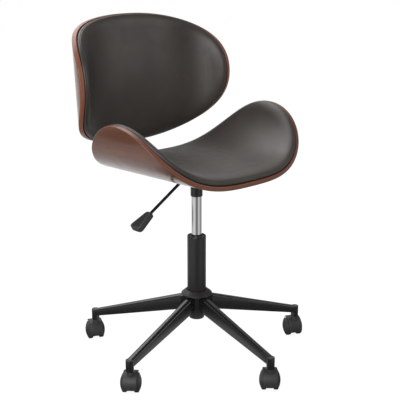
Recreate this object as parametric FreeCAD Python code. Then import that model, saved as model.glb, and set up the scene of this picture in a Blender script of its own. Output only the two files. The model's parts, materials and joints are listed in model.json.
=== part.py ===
import FreeCAD, Part
import math
import os

# Swivel office chair: bent plywood seat and back with upholstered pads, gas lift,
# five-legged base on hooded twin-wheel casters.
# Millimetres and degrees. The sitter faces -Y, +Z is up, and the origin lies on the
# floor under the column.

Vector = FreeCAD.Vector
up = Vector(0, 0, 1)
across = Vector(1, 0, 0)
level_origin = Vector(0, 0, 0)

# Fits
seat_gap = 0.3
running_gap = 0.06
push_gap = 0.05
overrun = 6.0

# Casters
wheel_radius = 25.0
wheel_tread_width = 10.5
wheel_dome = 6.5
wheel_edge = 1.8
wheel_spacing = 19.6
axle_radius = 3.0
axle_end_play = 0.4
axle_length = 46.4
caster_trail = 12.7
caster_headings = (-36.0, -24.0, -47.0, -43.5, -27.0)
hood_clearance = 2.4
hood_wall = 3.2
hood_width = 37.0
hood_round = 3.0
hood_start_angle = 55.0
hood_end_angle = 198.0
web_thickness = 17.0
web_hub_radius = 8.0
boss_radius = 8.0
stem_radius = 5.5
stem_foot = 30.0
stem_end_gap = 0.7
stem_nose = 1.5
stem_groove_height = 3.0
stem_groove_depth = 0.8
stem_groove_from_top = 9.0

# Base
leg_count = 5
first_leg_angle = 49.0
stem_circle = 294.6
socket_radius = 10.35
socket_foot = 61.0
socket_bore_top = 87.2
leg_wall = 2.0
leg_root_radius = 15.0
leg_root_width = 11.0
leg_root_depth = 46.6
leg_root_top = 172.8
leg_shoulder_radius = 42.0
leg_width = 20.0
leg_tip_depth = 19.4
leg_tip_top = 91.6
leg_corner_share = 0.42
leg_foot_corner_share = 0.22
hub_radius = 20.5
hub_foot = 100.7
hub_top = 172.0
hub_lip = 3.0
collar_radius = 41.3
collar_top = 182.4
collar_edge = 172.0
collar_skirt = 2.5
collar_wall = 2.2
collar_floor_wall = 1.4
collar_mouth_radius = 26.6
collar_dish_radius = 22.5
collar_land = 2.4
collar_lip = 1.0

# Gas lift
tube_radius = 25.0
tube_wall = 2.0
tube_top = 333.0
tube_lip = 1.8
tube_shoulder = 180.0
tube_neck = 174.0
taper_top_radius = 18.0
taper_foot_radius = 17.2
taper_wall = 2.4
tube_foot = 104.2
tube_floor = 4.0
cylinder_radius = 14.0
cylinder_wall = 1.8
cylinder_foot = 245.0
cylinder_taper_length = 38.3
cylinder_taper_radius = 13.3
cylinder_end_gap = 0.4
valve_block = 16.0
bush_length = 72.0
bush_recess = 1.6
rod_radius = 5.0
rod_tail_radius = 4.0
rod_below_tube = 3.3
bearing_radius = 12.0
bearing_height = 7.5
clip_radius = 7.0
clip_height = 1.2
clip_above_foot = 1.2
clip_groove_depth = 0.8
gland_height = 18.0
piston_height = 14.0
piston_lift = 40.0

# Mechanism under the seat
cone_radius = 16.0
cone_round = 2.0
cone_flare_height = 14.0
cone_flare_radius = 22.0
mechanism_depth = 21.8
housing_length = 80.0
housing_width = 52.0
housing_wall = 2.5
plate_size = 150.0
plate_thickness = 3.0
plate_corner = 14.0
button_radius = 4.0
button_gap = 0.4
button_tail = 11.0
button_dome = 1.2
lever_radius = 4.0
lever_above_housing = 10.0
lever_flat_length = 24.0
lever_flat_thickness = 4.0
lever_inner_end = 5.0
lever_pivot_x = -33.0
lever_pin_radius = 2.0
lever_bend_x = -51.5
lever_bend_radius = 14.0
lever_droop = 31.5
lever_slope_length = 141.8
lever_slot_height = 11.0
knob_length = 60.0
knob_root_width = 22.0
knob_root_thickness = 12.0
knob_end_width = 42.0
knob_end_thickness = 15.0
knob_socket_depth = 22.0
knob_corner_share = 0.3
knob_nose_shares = ((0.84, 1, 1), (0.93, 0.92, 0.92), (0.98, 0.76, 0.76), (1, 0.55, 0.55))

# Seat: a board bent along its length, across the chair
ply_thickness = 12.0
panel_thickness = 4.0
panel_inset = 15.0
seat_height = 500.8
seat_rake = 0.98
seat_form = {
    "half_length": 348.8,
    "near": 200.0,
    "far": 216.2,
    "near_power": 2.17,
    "far_power": 1.79,
    "shift": -1.6,
    "wing_slope": 77.35,
    "bend_power": 2.70,
    "knee_share": 0.81,
}

# Back: the same kind of board, standing
back_above_seat = 226.1
back_depth = 270.4
back_lean = 4.09
back_form = {
    "half_length": 319.2,
    "near": 176.5,
    "far": 167.6,
    "near_power": 2.11,
    "far_power": 2.16,
    "shift": 0.0,
    "wing_slope": 75.9,
    "bend_power": 2.56,
    "knee_share": 1.02,
}
station_count = 27
station_end_angle = 87.5
bend_steps = 80

# Pads
pad_inset = 1.5
pad_edge = 15.3
pad_crown = 8.0
pad_tuck = 6.0
pad_roll = 4.5
pad_nose = 18.0
pad_bulge_share = 0.5

# Bracket between seat and back
bracket_width = 50.0
bracket_thickness = 6.0
bracket_bend = 32.0
bracket_start = 82.0
bracket_top = -45.0
bracket_corner = 10.0

# Fasteners
bolt_radius = 3.0
bolt_hole_gap = 0.3
bolt_head_radius = 5.5
bolt_head_height = 3.6
bolt_head_round = 1.6
bolt_end_gap = 1.0
tee_flange_radius = 8.5
tee_flange_thickness = 1.2
tee_barrel_radius = 4.0
tee_barrel_length = 9.0
tee_sink = 0.4
plate_bolt_x = 50.0
plate_bolt_y = 60.0
bracket_bolt_x = 14.0
bracket_bolt_ys = (115.0, 165.0)
back_bolt_heights = (-130.0, -75.0)

# What follows from the sizes above
axle_height = wheel_radius
wheel_face = wheel_spacing / 2
hood_inner = wheel_radius + hood_clearance
hood_outer = hood_inner + hood_wall
boss_top = socket_foot - seat_gap
stem_top = socket_bore_top - stem_end_gap
cylinder_bore = cylinder_radius - cylinder_wall
tube_bore = tube_radius - tube_wall
floor_top = tube_foot + tube_floor
bearing_top = floor_top + bearing_height
rod_foot = tube_foot - rod_below_tube
piston_top = cylinder_foot + piston_lift
housing_foot = seat_height - mechanism_depth
cylinder_top = housing_foot - cylinder_end_gap
cylinder_taper_start = cylinder_top - cylinder_taper_length
cone_flare_start = housing_foot - cone_flare_height
lever_height = housing_foot + lever_above_housing
button_top = lever_height - lever_flat_thickness / 2 - button_gap
button_foot = housing_foot - button_tail
back_height = seat_height + back_above_seat
panel_foot = ply_thickness + seat_gap
panel_top = panel_foot + panel_thickness
pad_foot = panel_foot
plate_top = -seat_gap
plate_foot = plate_top - plate_thickness
big = 2 * seat_form["half_length"]


# Small helpers

def save(shape, name):
    shape.exportStep("parts/" + name + ".step")


def pipe(points, closed=True):
    if closed:
        points = points + [points[0]]
    return Part.makePolygon(points)


def turned(profile, centre=level_origin, axis=up, start=Vector(1, 0, 0)):
    # A solid of revolution from (radius, height) pairs, about an axis through the centre.
    points = [centre + start * radius + axis * height for radius, height in profile]
    face = Part.Face(pipe(points))
    return face.revolve(centre, axis, 360)


def rounded_wire(corners):
    # Arcs through the three points of each corner, with straight lines between them.
    wire = []
    for count in range(len(corners)):
        ends = corners[count]
        following = corners[(count + 1) % len(corners)]
        wire.append(Part.Arc(ends[0], ends[1], ends[2]).toShape())
        wire.append(Part.makeLine(ends[2], following[0]))
    return Part.Wire(wire)


def rod_between(start, end, radius):
    direction = end - start
    return Part.makeCylinder(radius, direction.Length, start, direction)


def block(low, high):
    size = high - low
    return Part.makeBox(size.x, size.y, size.z, low)


def fuse_all(shapes):
    result = shapes[0]
    for shape in shapes[1:]:
        result = result.fuse(shape)
    return result.removeSplitter()


def cut_all(shape, cutters):
    for cutter in cutters:
        shape = shape.cut(cutter)
    return shape


def group(shapes):
    return Part.makeCompound(shapes)


# Frames: where the seat board and the back board lie

seat_frame = FreeCAD.Placement(
    Vector(0, 0, seat_height), FreeCAD.Rotation(across, -seat_rake)
)
back_frame = FreeCAD.Placement(
    Vector(0, back_depth, back_height),
    FreeCAD.Rotation(across, 90 - back_lean),
)


def placed(shape, frame):
    result = shape.copy()
    result.Placement = frame.multiply(result.Placement)
    return result


# Bent boards. Each is described along its flat length u: how steep it is there,
# and how far its outline reaches to the near side and to the far side.

def slope_at(form, u):
    grown = (abs(u) / form["half_length"]) ** form["bend_power"]
    knee = form["knee_share"] ** form["bend_power"]
    share = grown / (grown + knee) * (1 + knee)
    return math.copysign(math.radians(form["wing_slope"]) * share, u)


def bend_at(form, u):
    # Walks along the bend from the middle and adds up its steps.
    step = u / bend_steps
    x = 0
    rise = 0
    for count in range(bend_steps):
        slope = slope_at(form, step * (count + 0.5))
        x += step * math.cos(slope)
        rise += step * math.sin(slope)
    return x, rise, slope_at(form, u)


def point_on(bend, v, height):
    # A point at v along the board's width and at a height off its outer face.
    x, rise, slope = bend
    return Vector(
        x - height * math.sin(slope), v, rise + height * math.cos(slope)
    )


def reach(length, power, share):
    return length * (1 - share ** power) ** (1 / power)


def stations(form, inset):
    # Places along the board, closer together towards the wing tips.
    half = form["half_length"] - inset
    places = []
    for count in range(station_count):
        share = 2 * count / (station_count - 1) - 1
        place_share = math.sin(math.radians(station_end_angle * share))
        u = half * place_share
        edge_share = abs(place_share)
        low = form["shift"] - reach(form["near"] - inset, form["near_power"], edge_share)
        high = form["shift"] + reach(form["far"] - inset, form["far_power"], edge_share)
        places.append((u, low, high))
    return places


def board(form, inset, foot, top):
    sections = []
    for u, low, high in stations(form, inset):
        bend = bend_at(form, u)
        corners = [
            point_on(bend, low, foot),
            point_on(bend, high, foot),
            point_on(bend, high, top),
            point_on(bend, low, top),
        ]
        sections.append(pipe(corners))
    return Part.makeLoft(sections, True, False)


def pad(form):
    # A cushion round its panel: sides drawn in at the foot, a rolled edge and a crown.
    half = form["half_length"] - pad_inset
    sections = []
    for u, low, high in stations(form, pad_inset):
        bend = bend_at(form, u)
        depth = min(half - abs(u), pad_nose) / pad_nose
        thin = math.sqrt(1 - (1 - depth) ** 2)
        edge = pad_edge * thin
        crown = pad_crown * thin * (1 - (u / half) ** 2)
        tuck = min(pad_tuck * thin, (high - low) / 4)
        roll = min(pad_roll * thin, (high - low) / 4)
        waist = pad_foot + edge * pad_bulge_share
        shoulder = pad_foot + edge
        foot_low = point_on(bend, low + tuck, pad_foot)
        foot_high = point_on(bend, high - tuck, pad_foot)
        side_high = point_on(bend, high, waist)
        top_high = point_on(bend, high - roll, shoulder)
        top_middle = point_on(bend, (low + high) / 2, shoulder + crown)
        top_low = point_on(bend, low + roll, shoulder)
        side_low = point_on(bend, low, waist)
        edges = [
            Part.makeLine(foot_low, foot_high),
            Part.Arc(foot_high, side_high, top_high).toShape(),
            Part.Arc(top_high, top_middle, top_low).toShape(),
            Part.Arc(top_low, side_low, foot_low).toShape(),
        ]
        sections.append(Part.Wire(edges))
    cushion = Part.makeLoft(sections, True, False)
    recess_inset = panel_inset - seat_gap
    recess = board(form, recess_inset, panel_foot - overrun, panel_top + seat_gap)
    return cushion.cut(recess)


# Fasteners, standing on their head at the origin and pointing up

def bolt(grip):
    head = turned([
        (0, -bolt_head_height),
        (bolt_head_radius - bolt_head_round, -bolt_head_height),
        (bolt_head_radius, bolt_head_round - bolt_head_height),
        (bolt_head_radius, 0),
        (0, 0),
    ])
    shank = Part.makeCylinder(bolt_radius, grip)
    return head.fuse(shank).removeSplitter()


def tee_nut():
    # Its flange's top is at the origin, and its barrel hangs down.
    bore = bolt_radius + push_gap
    return turned([
        (bore, 0),
        (tee_flange_radius, 0),
        (tee_flange_radius, -tee_flange_thickness),
        (tee_barrel_radius, -tee_flange_thickness),
        (tee_barrel_radius, -tee_barrel_length),
        (bore, -tee_barrel_length),
    ])


def moved(shape, x, y, z):
    result = shape.copy()
    result.translate(Vector(x, y, z))
    return result


def tee_top_at(form, x):
    # The bend is so slight near the middle that x and the flat length agree there.
    return panel_top + bend_at(form, x)[1] - tee_sink


def fastened(form, places, head_height):
    # Bolts and tee nuts at (x, v) places, with the cutters for the boards they pass.
    bolts, nuts, board_cuts, panel_cuts = [], [], [], []
    for x, v in places:
        top = tee_top_at(form, x)
        grip = top - bolt_end_gap - head_height
        bolts.append(moved(bolt(grip), x, v, head_height))
        nuts.append(moved(tee_nut(), x, v, top))
        hole = bolt_radius + bolt_hole_gap
        board_cuts.append(moved(Part.makeCylinder(hole, big), x, v, head_height))
        barrel = tee_barrel_radius + push_gap
        barrel_foot = top - tee_barrel_length
        board_cuts.append(moved(Part.makeCylinder(barrel, big), x, v, barrel_foot))
        panel_cuts.append(moved(Part.makeCylinder(barrel, big), x, v, head_height))
        flange = tee_flange_radius + push_gap
        flange_foot = top - tee_flange_thickness
        panel_cuts.append(moved(Part.makeCylinder(flange, big), x, v, flange_foot))
    return bolts, nuts, board_cuts, panel_cuts


def mirrored_places(x, vs):
    return [(side * x, v) for v in vs for side in (-1, 1)]


# Seat and back

def make_seat():
    plate_places = mirrored_places(plate_bolt_x, (-plate_bolt_y, plate_bolt_y))
    bracket_places = mirrored_places(bracket_bolt_x, bracket_bolt_ys)
    plate_set = fastened(seat_form, plate_places, plate_foot)
    bracket_head = plate_top - bracket_thickness
    bracket_set = fastened(seat_form, bracket_places, bracket_head)
    shell = cut_all(
        board(seat_form, 0, 0, ply_thickness), plate_set[2] + bracket_set[2]
    )
    panel = cut_all(
        board(seat_form, panel_inset, panel_foot, panel_top), plate_set[3] + bracket_set[3]
    )
    save(placed(shell, seat_frame), "seat_shell")
    save(placed(panel, seat_frame), "seat_panel")
    save(placed(pad(seat_form), seat_frame), "seat_pad")
    save(placed(group(plate_set[0]), seat_frame), "plate_bolts")
    save(placed(group(bracket_set[0]), seat_frame), "bracket_seat_bolts")
    save(placed(group(plate_set[1] + bracket_set[1]), seat_frame), "seat_tee_nuts")


def make_back():
    places = mirrored_places(bracket_bolt_x, back_bolt_heights)
    head_height = plate_top - bracket_thickness
    bolts, nuts, board_cuts, panel_cuts = fastened(back_form, places, head_height)
    shell = cut_all(board(back_form, 0, 0, ply_thickness), board_cuts)
    panel = cut_all(board(back_form, panel_inset, panel_foot, panel_top), panel_cuts)
    save(placed(shell, back_frame), "back_shell")
    save(placed(panel, back_frame), "back_panel")
    save(placed(pad(back_form), back_frame), "back_pad")
    save(placed(group(bolts), back_frame), "bracket_back_bolts")
    save(placed(group(nuts), back_frame), "back_tee_nuts")


def make_bracket():
    # The bar's middle line runs under the seat and up behind the back.
    half = bracket_thickness / 2
    drop = plate_top - half
    foot_start = seat_frame.multVec(Vector(0, bracket_start, drop))
    foot_way = seat_frame.Rotation.multVec(Vector(0, 1, 0))
    arm_end = back_frame.multVec(Vector(0, bracket_top, drop))
    arm_way = back_frame.Rotation.multVec(Vector(0, 1, 0))
    foot_side = seat_frame.Rotation.multVec(up)
    arm_side = back_frame.Rotation.multVec(up)
    # The bend's centre lies one bend radius above the foot and in front of the arm.
    middle = bracket_bend + half
    gap = arm_end - foot_start
    turn = math.radians(90) - math.radians(back_lean) + math.radians(seat_rake)
    across_gap = gap - arm_way * (gap.dot(foot_side) / arm_way.dot(foot_side))
    run = across_gap.dot(foot_way) - middle * math.tan(turn / 2)
    bend_start = foot_start + foot_way * run
    centre = bend_start + foot_side * middle
    bend_end = centre - arm_side * middle
    half_way = centre - (foot_side + arm_side).normalize() * middle

    def side_of(point, away, sign):
        return point + away * (sign * half)

    mid_side = (foot_side + arm_side).normalize()
    edges = []
    inner = [
        side_of(foot_start, foot_side, 1),
        side_of(bend_start, foot_side, 1),
        side_of(half_way, mid_side, 1),
        side_of(bend_end, arm_side, 1),
        side_of(arm_end, arm_side, 1),
    ]
    outer = [
        side_of(foot_start, foot_side, -1),
        side_of(bend_start, foot_side, -1),
        side_of(half_way, mid_side, -1),
        side_of(bend_end, arm_side, -1),
        side_of(arm_end, arm_side, -1),
    ]
    edges.append(Part.makeLine(inner[0], inner[1]))
    edges.append(Part.Arc(inner[1], inner[2], inner[3]).toShape())
    edges.append(Part.makeLine(inner[3], inner[4]))
    edges.append(Part.makeLine(inner[4], outer[4]))
    edges.append(Part.makeLine(outer[4], outer[3]))
    edges.append(Part.Arc(outer[3], outer[2], outer[1]).toShape())
    edges.append(Part.makeLine(outer[1], outer[0]))
    edges.append(Part.makeLine(outer[0], inner[0]))
    face = Part.Face(Part.Wire(edges))
    bar = face.extrude(across * bracket_width)
    bar.translate(across * (-bracket_width / 2))
    # The bar's four corners are rounded.
    corners = []
    for edge in bar.Edges:
        if abs(edge.Length - bracket_thickness) < seat_gap:
            corners.append(edge)
    bar = bar.makeFillet(bracket_corner, corners)
    hole = bolt_radius + bolt_hole_gap
    cutters = []
    for x, v in mirrored_places(bracket_bolt_x, bracket_bolt_ys):
        low = moved(Part.makeCylinder(hole, 2 * overrun), x, v, -bracket_thickness - overrun)
        cutters.append(placed(low, seat_frame))
    for x, v in mirrored_places(bracket_bolt_x, back_bolt_heights):
        low = moved(Part.makeCylinder(hole, 2 * overrun), x, v, -bracket_thickness - overrun)
        cutters.append(placed(low, back_frame))
    save(cut_all(bar, cutters), "back_bracket")


# Mechanism under the seat

def make_plate():
    half = plate_size / 2
    plate = block(Vector(-half, -half, plate_foot), Vector(half, half, plate_top))
    upright = [edge for edge in plate.Edges if edge.tangentAt(edge.FirstParameter).z != 0]
    plate = plate.makeFillet(plate_corner, upright)
    hole = bolt_radius + bolt_hole_gap
    cutters = []
    for x, v in mirrored_places(plate_bolt_x, (-plate_bolt_y, plate_bolt_y)):
        cutters.append(moved(Part.makeCylinder(hole, 2 * overrun), x, v, plate_foot - overrun))
    save(placed(cut_all(plate, cutters), seat_frame), "seat_plate")


def make_housing():
    half_x = housing_length / 2
    half_y = housing_width / 2
    high = seat_height + overrun
    outer = block(Vector(-half_x, -half_y, housing_foot), Vector(half_x, half_y, high))
    floor = housing_foot + housing_wall
    inner = block(
        Vector(housing_wall - half_x, housing_wall - half_y, floor),
        Vector(half_x - housing_wall, half_y - housing_wall, high + overrun),
    )
    above = placed(
        block(Vector(-big, -big, plate_foot), Vector(big, big, big)), seat_frame
    )
    button_hole = rod_between(
        Vector(0, 0, housing_foot - overrun),
        Vector(0, 0, floor + overrun),
        button_radius + running_gap + seat_gap,
    )
    slot_half = lever_radius + 2 * seat_gap
    slot = block(
        Vector(-half_x - overrun, -slot_half, lever_height - lever_slot_height / 2),
        Vector(2 * housing_wall - half_x, slot_half, lever_height + lever_slot_height / 2),
    )
    pin_hole = rod_between(
        Vector(lever_pivot_x, -half_y - overrun, lever_height),
        Vector(lever_pivot_x, half_y + overrun, lever_height),
        lever_pin_radius,
    )
    housing = cut_all(outer, [inner, above, button_hole, slot, pin_hole])
    save(housing, "mechanism_housing")
    pin = rod_between(
        Vector(lever_pivot_x, -half_y, lever_height),
        Vector(lever_pivot_x, half_y, lever_height),
        lever_pin_radius,
    )
    save(pin, "lever_pivot_pin")


def make_cone():
    shoulder = (cone_flare_start + housing_foot) / 2
    middle = (cone_radius + cone_flare_radius) / 2
    profile = [
        (cylinder_radius, cylinder_taper_start),
        (cone_radius - cone_round / 2, cylinder_taper_start),
        (cone_radius, cylinder_taper_start + cone_round),
        (cone_radius, cone_flare_start),
        (middle, shoulder),
        (cone_flare_radius, housing_foot),
        (cylinder_taper_radius, housing_foot),
        (cylinder_taper_radius, cylinder_top),
    ]
    save(turned(profile), "cone_socket")


def lever_way(angle):
    slope = math.radians(angle)
    return Vector(-math.cos(slope), 0, -math.sin(slope))


def lever_points():
    # The rod runs level from its inner end, bends down and runs on to the knob.
    turn = math.radians(lever_droop)
    tangent = lever_bend_radius * math.tan(turn / 2)
    corner = Vector(lever_bend_x, 0, lever_height)
    level = lever_way(0)
    droop = lever_way(lever_droop)
    return corner - level * tangent, corner + droop * tangent, droop


def make_lever():
    bend_start, bend_end, droop = lever_points()
    inner_end = Vector(lever_inner_end, 0, lever_height)
    turn = math.radians(lever_droop)
    centre = bend_start - up * lever_bend_radius
    half = Vector(-math.sin(turn / 2), 0, math.cos(turn / 2))
    slope_end = bend_end + droop * lever_slope_length
    path = Part.Wire([
        Part.makeLine(inner_end, bend_start),
        Part.Arc(bend_start, centre + half * lever_bend_radius, bend_end).toShape(),
        Part.makeLine(bend_end, slope_end),
    ])
    circle = Part.Wire(Part.Circle(inner_end, across, lever_radius).toShape())
    rod = path.makePipeShell([circle], True, True)
    flat_half = lever_flat_thickness / 2
    flat_start = lever_inner_end - lever_flat_length
    above = block(
        Vector(flat_start, -big, lever_height + flat_half),
        Vector(lever_inner_end + overrun, big, lever_height + big),
    )
    below = block(
        Vector(flat_start, -big, lever_height - big),
        Vector(lever_inner_end + overrun, big, lever_height - flat_half),
    )
    pin_hole = rod_between(
        Vector(lever_pivot_x, -big, lever_height),
        Vector(lever_pivot_x, big, lever_height),
        lever_pin_radius + running_gap,
    )
    save(cut_all(rod, [above, below, pin_hole]), "lever_rod")
    knob_start = slope_end - droop * knob_socket_depth
    make_knob(knob_start, droop)


def knob_section(centre, droop, width, thickness):
    # A rounded oblong across the knob, its long way level.
    side = Vector(0, 1, 0)
    top = droop.cross(side)
    corner = thickness * knob_corner_share
    half_w = width / 2
    half_t = thickness / 2
    wide = half_w - corner
    tall = half_t - corner
    bevel = corner * (1 - math.sqrt(0.5))

    def at(along_side, along_top):
        return centre + side * along_side + top * along_top

    corners = []
    for sign_s, sign_t in [(1, 1), (-1, 1), (-1, -1), (1, -1)]:
        ends = [
            at(sign_s * half_w, sign_t * tall),
            at(sign_s * (half_w - bevel), sign_t * (half_t - bevel)),
            at(sign_s * wide, sign_t * half_t),
        ]
        if sign_s * sign_t < 0:
            ends.reverse()
        corners.append(ends)
    return rounded_wire(corners)


def make_knob(start, droop):
    sections = [knob_section(start, droop, knob_root_width, knob_root_thickness)]
    for along_share, width_share, thickness_share in knob_nose_shares:
        centre = start + droop * (knob_length * along_share)
        width = knob_end_width * width_share
        thickness = knob_end_thickness * thickness_share
        sections.append(knob_section(centre, droop, width, thickness))
    body = Part.makeLoft(sections, True, True)
    back_off = start - droop * overrun
    hole_end = start + droop * (knob_socket_depth + seat_gap)
    hole = rod_between(back_off, hole_end, lever_radius + push_gap)
    save(body.cut(hole), "lever_knob")


def make_button():
    profile = [
        (0, button_foot),
        (button_radius, button_foot),
        (button_radius, button_top - button_dome),
        (button_radius / 2, button_top - button_dome / 4),
        (0, button_top),
    ]
    save(turned(profile), "release_button")


# Gas lift

def make_gas_lift():
    neck_wall = taper_top_radius - taper_wall
    foot_wall = taper_foot_radius - taper_wall
    rise = tube_wall + taper_wall
    tube = turned([
        (taper_foot_radius, tube_foot),
        (taper_top_radius, hub_top),
        (taper_top_radius, tube_neck),
        (tube_radius, tube_shoulder),
        (tube_radius, tube_top - tube_lip),
        (tube_radius - tube_lip / 2, tube_top),
        (tube_bore + tube_lip / 4, tube_top),
        (tube_bore, tube_top - tube_lip),
        (tube_bore, tube_shoulder + rise),
        (neck_wall, tube_neck + rise),
        (foot_wall, floor_top),
        (rod_tail_radius + seat_gap, floor_top),
        (rod_tail_radius + seat_gap, tube_foot),
    ])
    save(tube, "outer_tube")
    bush_top = tube_top - bush_recess
    bush = turned([
        (cylinder_radius + running_gap, bush_top - bush_length),
        (tube_bore, bush_top - bush_length),
        (tube_bore, bush_top - tube_lip),
        (tube_bore - tube_lip, bush_top),
        (cylinder_radius + tube_lip, bush_top),
        (cylinder_radius + running_gap, bush_top - tube_lip),
    ])
    save(bush, "guide_bush")
    bearing = turned([
        (rod_tail_radius + seat_gap, floor_top),
        (bearing_radius, floor_top),
        (bearing_radius, bearing_top),
        (rod_tail_radius + seat_gap, bearing_top),
    ])
    save(bearing, "thrust_bearing")
    groove = rod_tail_radius - clip_groove_depth
    clip_foot = rod_foot + clip_above_foot
    clip_top = clip_foot + clip_height
    rod = turned([
        (0, rod_foot),
        (rod_tail_radius, rod_foot),
        (rod_tail_radius, clip_foot),
        (groove, clip_foot),
        (groove, clip_top),
        (rod_tail_radius, clip_top),
        (rod_tail_radius, bearing_top),
        (rod_radius, bearing_top),
        (rod_radius, piston_top),
        (0, piston_top),
    ])
    save(rod, "piston_rod")
    clip = turned([
        (groove, clip_foot),
        (clip_radius, clip_foot),
        (clip_radius, clip_top),
        (groove, clip_top),
    ])
    save(clip, "rod_clip")
    piston = turned([
        (rod_radius, piston_top - piston_height),
        (cylinder_bore - running_gap, piston_top - piston_height),
        (cylinder_bore - running_gap, piston_top),
        (rod_radius, piston_top),
    ])
    save(piston, "piston")
    gland = turned([
        (rod_radius + running_gap, cylinder_foot),
        (cylinder_bore, cylinder_foot),
        (cylinder_bore, cylinder_foot + gland_height),
        (rod_radius + running_gap, cylinder_foot + gland_height),
    ])
    save(gland, "cylinder_gland")
    button_bore = button_radius + running_gap
    cylinder = turned([
        (cylinder_bore, cylinder_foot),
        (cylinder_radius, cylinder_foot),
        (cylinder_radius, cylinder_taper_start),
        (cylinder_taper_radius, cylinder_top),
        (button_bore, cylinder_top),
        (button_bore, cylinder_top - valve_block),
        (cylinder_bore, cylinder_top - valve_block),
    ])
    save(cylinder, "gas_cylinder")


# Base

def leg_section(radius, width, depth, top, wall):
    # An upright oblong with well rounded upper corners, seen along the leg.
    half = width / 2 - wall
    high = top - wall
    low = top - depth + wall
    corner = leg_corner_share * width - wall
    foot_corner = max(leg_foot_corner_share * width - wall, wall)
    bevel = 1 - math.sqrt(0.5)

    def at(side, height):
        return Vector(radius, side, height)

    def corner_arc(sign_s, sign_z, level, size):
        ends = [
            at(sign_s * half, level - sign_z * size),
            at(sign_s * (half - size * bevel), level - sign_z * size * bevel),
            at(sign_s * (half - size), level),
        ]
        if sign_s * sign_z < 0:
            ends.reverse()
        return ends

    arcs = [
        corner_arc(1, 1, high, corner),
        corner_arc(-1, 1, high, corner),
        corner_arc(-1, -1, low, foot_corner),
        corner_arc(1, -1, low, foot_corner),
    ]
    return rounded_wire(arcs)


def leg_loft(end_radius, wall):
    # The leg grows shallower evenly, from its root to the caster stem's circle. It is
    # narrowed at the root, where the five legs meet on the hub.
    sections = []
    for radius, width in (
        (leg_root_radius, leg_root_width),
        (leg_shoulder_radius, leg_width),
        (end_radius, leg_width),
    ):
        share = (radius - leg_root_radius) / (stem_circle - leg_root_radius)
        depth = leg_root_depth + (leg_tip_depth - leg_root_depth) * share
        top = leg_root_top + (leg_tip_top - leg_root_top) * share
        sections.append(leg_section(radius, width, depth, top, wall))
    return Part.makeLoft(sections, True, True)


def make_leg():
    outer = leg_loft(stem_circle, 0)
    cavity = leg_loft(stem_circle - socket_radius - leg_wall, leg_wall)
    socket = rod_between(
        Vector(stem_circle, 0, socket_foot), Vector(stem_circle, 0, leg_tip_top), socket_radius
    )
    bore = rod_between(
        Vector(stem_circle, 0, socket_foot - overrun),
        Vector(stem_circle, 0, socket_bore_top),
        stem_radius + running_gap,
    )
    hub = Part.makeCylinder(hub_radius, 2 * leg_root_top)
    leg = outer.fuse(socket).removeSplitter()
    return cut_all(leg, [cavity, bore, hub])


def leg_angle(number):
    return first_leg_angle + number * 360 / leg_count


def make_base():
    leg = make_leg()
    for number in range(leg_count):
        turned_leg = leg.copy()
        turned_leg.rotate(level_origin, up, leg_angle(number))
        save(turned_leg, "leg_%d" % (number + 1))
    hub = turned([
        (taper_foot_radius, tube_foot),
        (taper_foot_radius, hub_foot + hub_lip / 2),
        (taper_foot_radius + hub_lip / 4, hub_foot),
        (hub_radius - hub_lip / 2, hub_foot),
        (hub_radius, hub_foot + hub_lip),
        (hub_radius, hub_top),
        (taper_top_radius, hub_top),
    ])
    save(hub, "base_hub")
    # The collar is a cone whose dished middle rests on the hub, round the tube's neck.
    bore = taper_top_radius + seat_gap
    floor_foot = hub_top + seat_gap
    floor_face = floor_foot + collar_floor_wall
    shoulder = collar_mouth_radius + collar_land
    collar = turned([
        (bore, floor_foot),
        (bore, floor_face),
        (collar_dish_radius, floor_face),
        (collar_mouth_radius, collar_top - collar_lip),
        (collar_mouth_radius + collar_lip, collar_top),
        (shoulder, collar_top),
        (collar_radius, collar_edge),
        (collar_radius, collar_edge - collar_skirt),
        (collar_radius - collar_wall, collar_edge - collar_skirt),
        (collar_radius - collar_wall, collar_edge - collar_wall / 2),
        (shoulder, collar_top - collar_lip - collar_wall),
        (collar_dish_radius + collar_wall, floor_foot),
    ])
    save(collar, "base_collar")


# Casters, made at the origin with the stem upright on Z, the axle along X and
# the wheels trailing towards +Y

axle_centre = Vector(0, caster_trail, axle_height)


def make_wheel(side):
    tread_end = wheel_face + wheel_tread_width
    rim = wheel_radius - wheel_edge
    bore = axle_radius + running_gap
    bore_end = axle_length / 2 + axle_end_play
    dome_top = tread_end + wheel_dome
    # The outer face is a cap of a ball that is centred on the axle's line.
    ball = (rim ** 2 + wheel_dome ** 2) / (2 * wheel_dome)
    crown_drop = ball - math.sqrt(ball ** 2 - (rim / 2) ** 2)
    points = [
        (bore, wheel_face),
        (rim, wheel_face),
        (wheel_radius, wheel_face + wheel_edge),
        (wheel_radius, tread_end - wheel_edge),
        (rim, tread_end),
    ]
    places = [axle_centre + up * radius + across * along for radius, along in points]
    crown = axle_centre + up * (rim / 2) + across * (dome_top - crown_drop)
    top = axle_centre + across * dome_top
    bore_floor = axle_centre + across * bore_end
    bore_corner = bore_floor + up * bore
    edges = []
    for count in range(len(places) - 1):
        edges.append(Part.makeLine(places[count], places[count + 1]))
    edges.append(Part.Arc(places[-1], crown, top).toShape())
    edges.append(Part.makeLine(top, bore_floor))
    edges.append(Part.makeLine(bore_floor, bore_corner))
    edges.append(Part.makeLine(bore_corner, places[0]))
    wheel = Part.Face(Part.Wire(edges)).revolve(axle_centre, across, 360)
    if side < 0:
        wheel = wheel.mirror(level_origin, across)
    return wheel


def drum(radius, width):
    return rod_between(
        axle_centre - across * (width / 2), axle_centre + across * (width / 2), radius
    )


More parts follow.
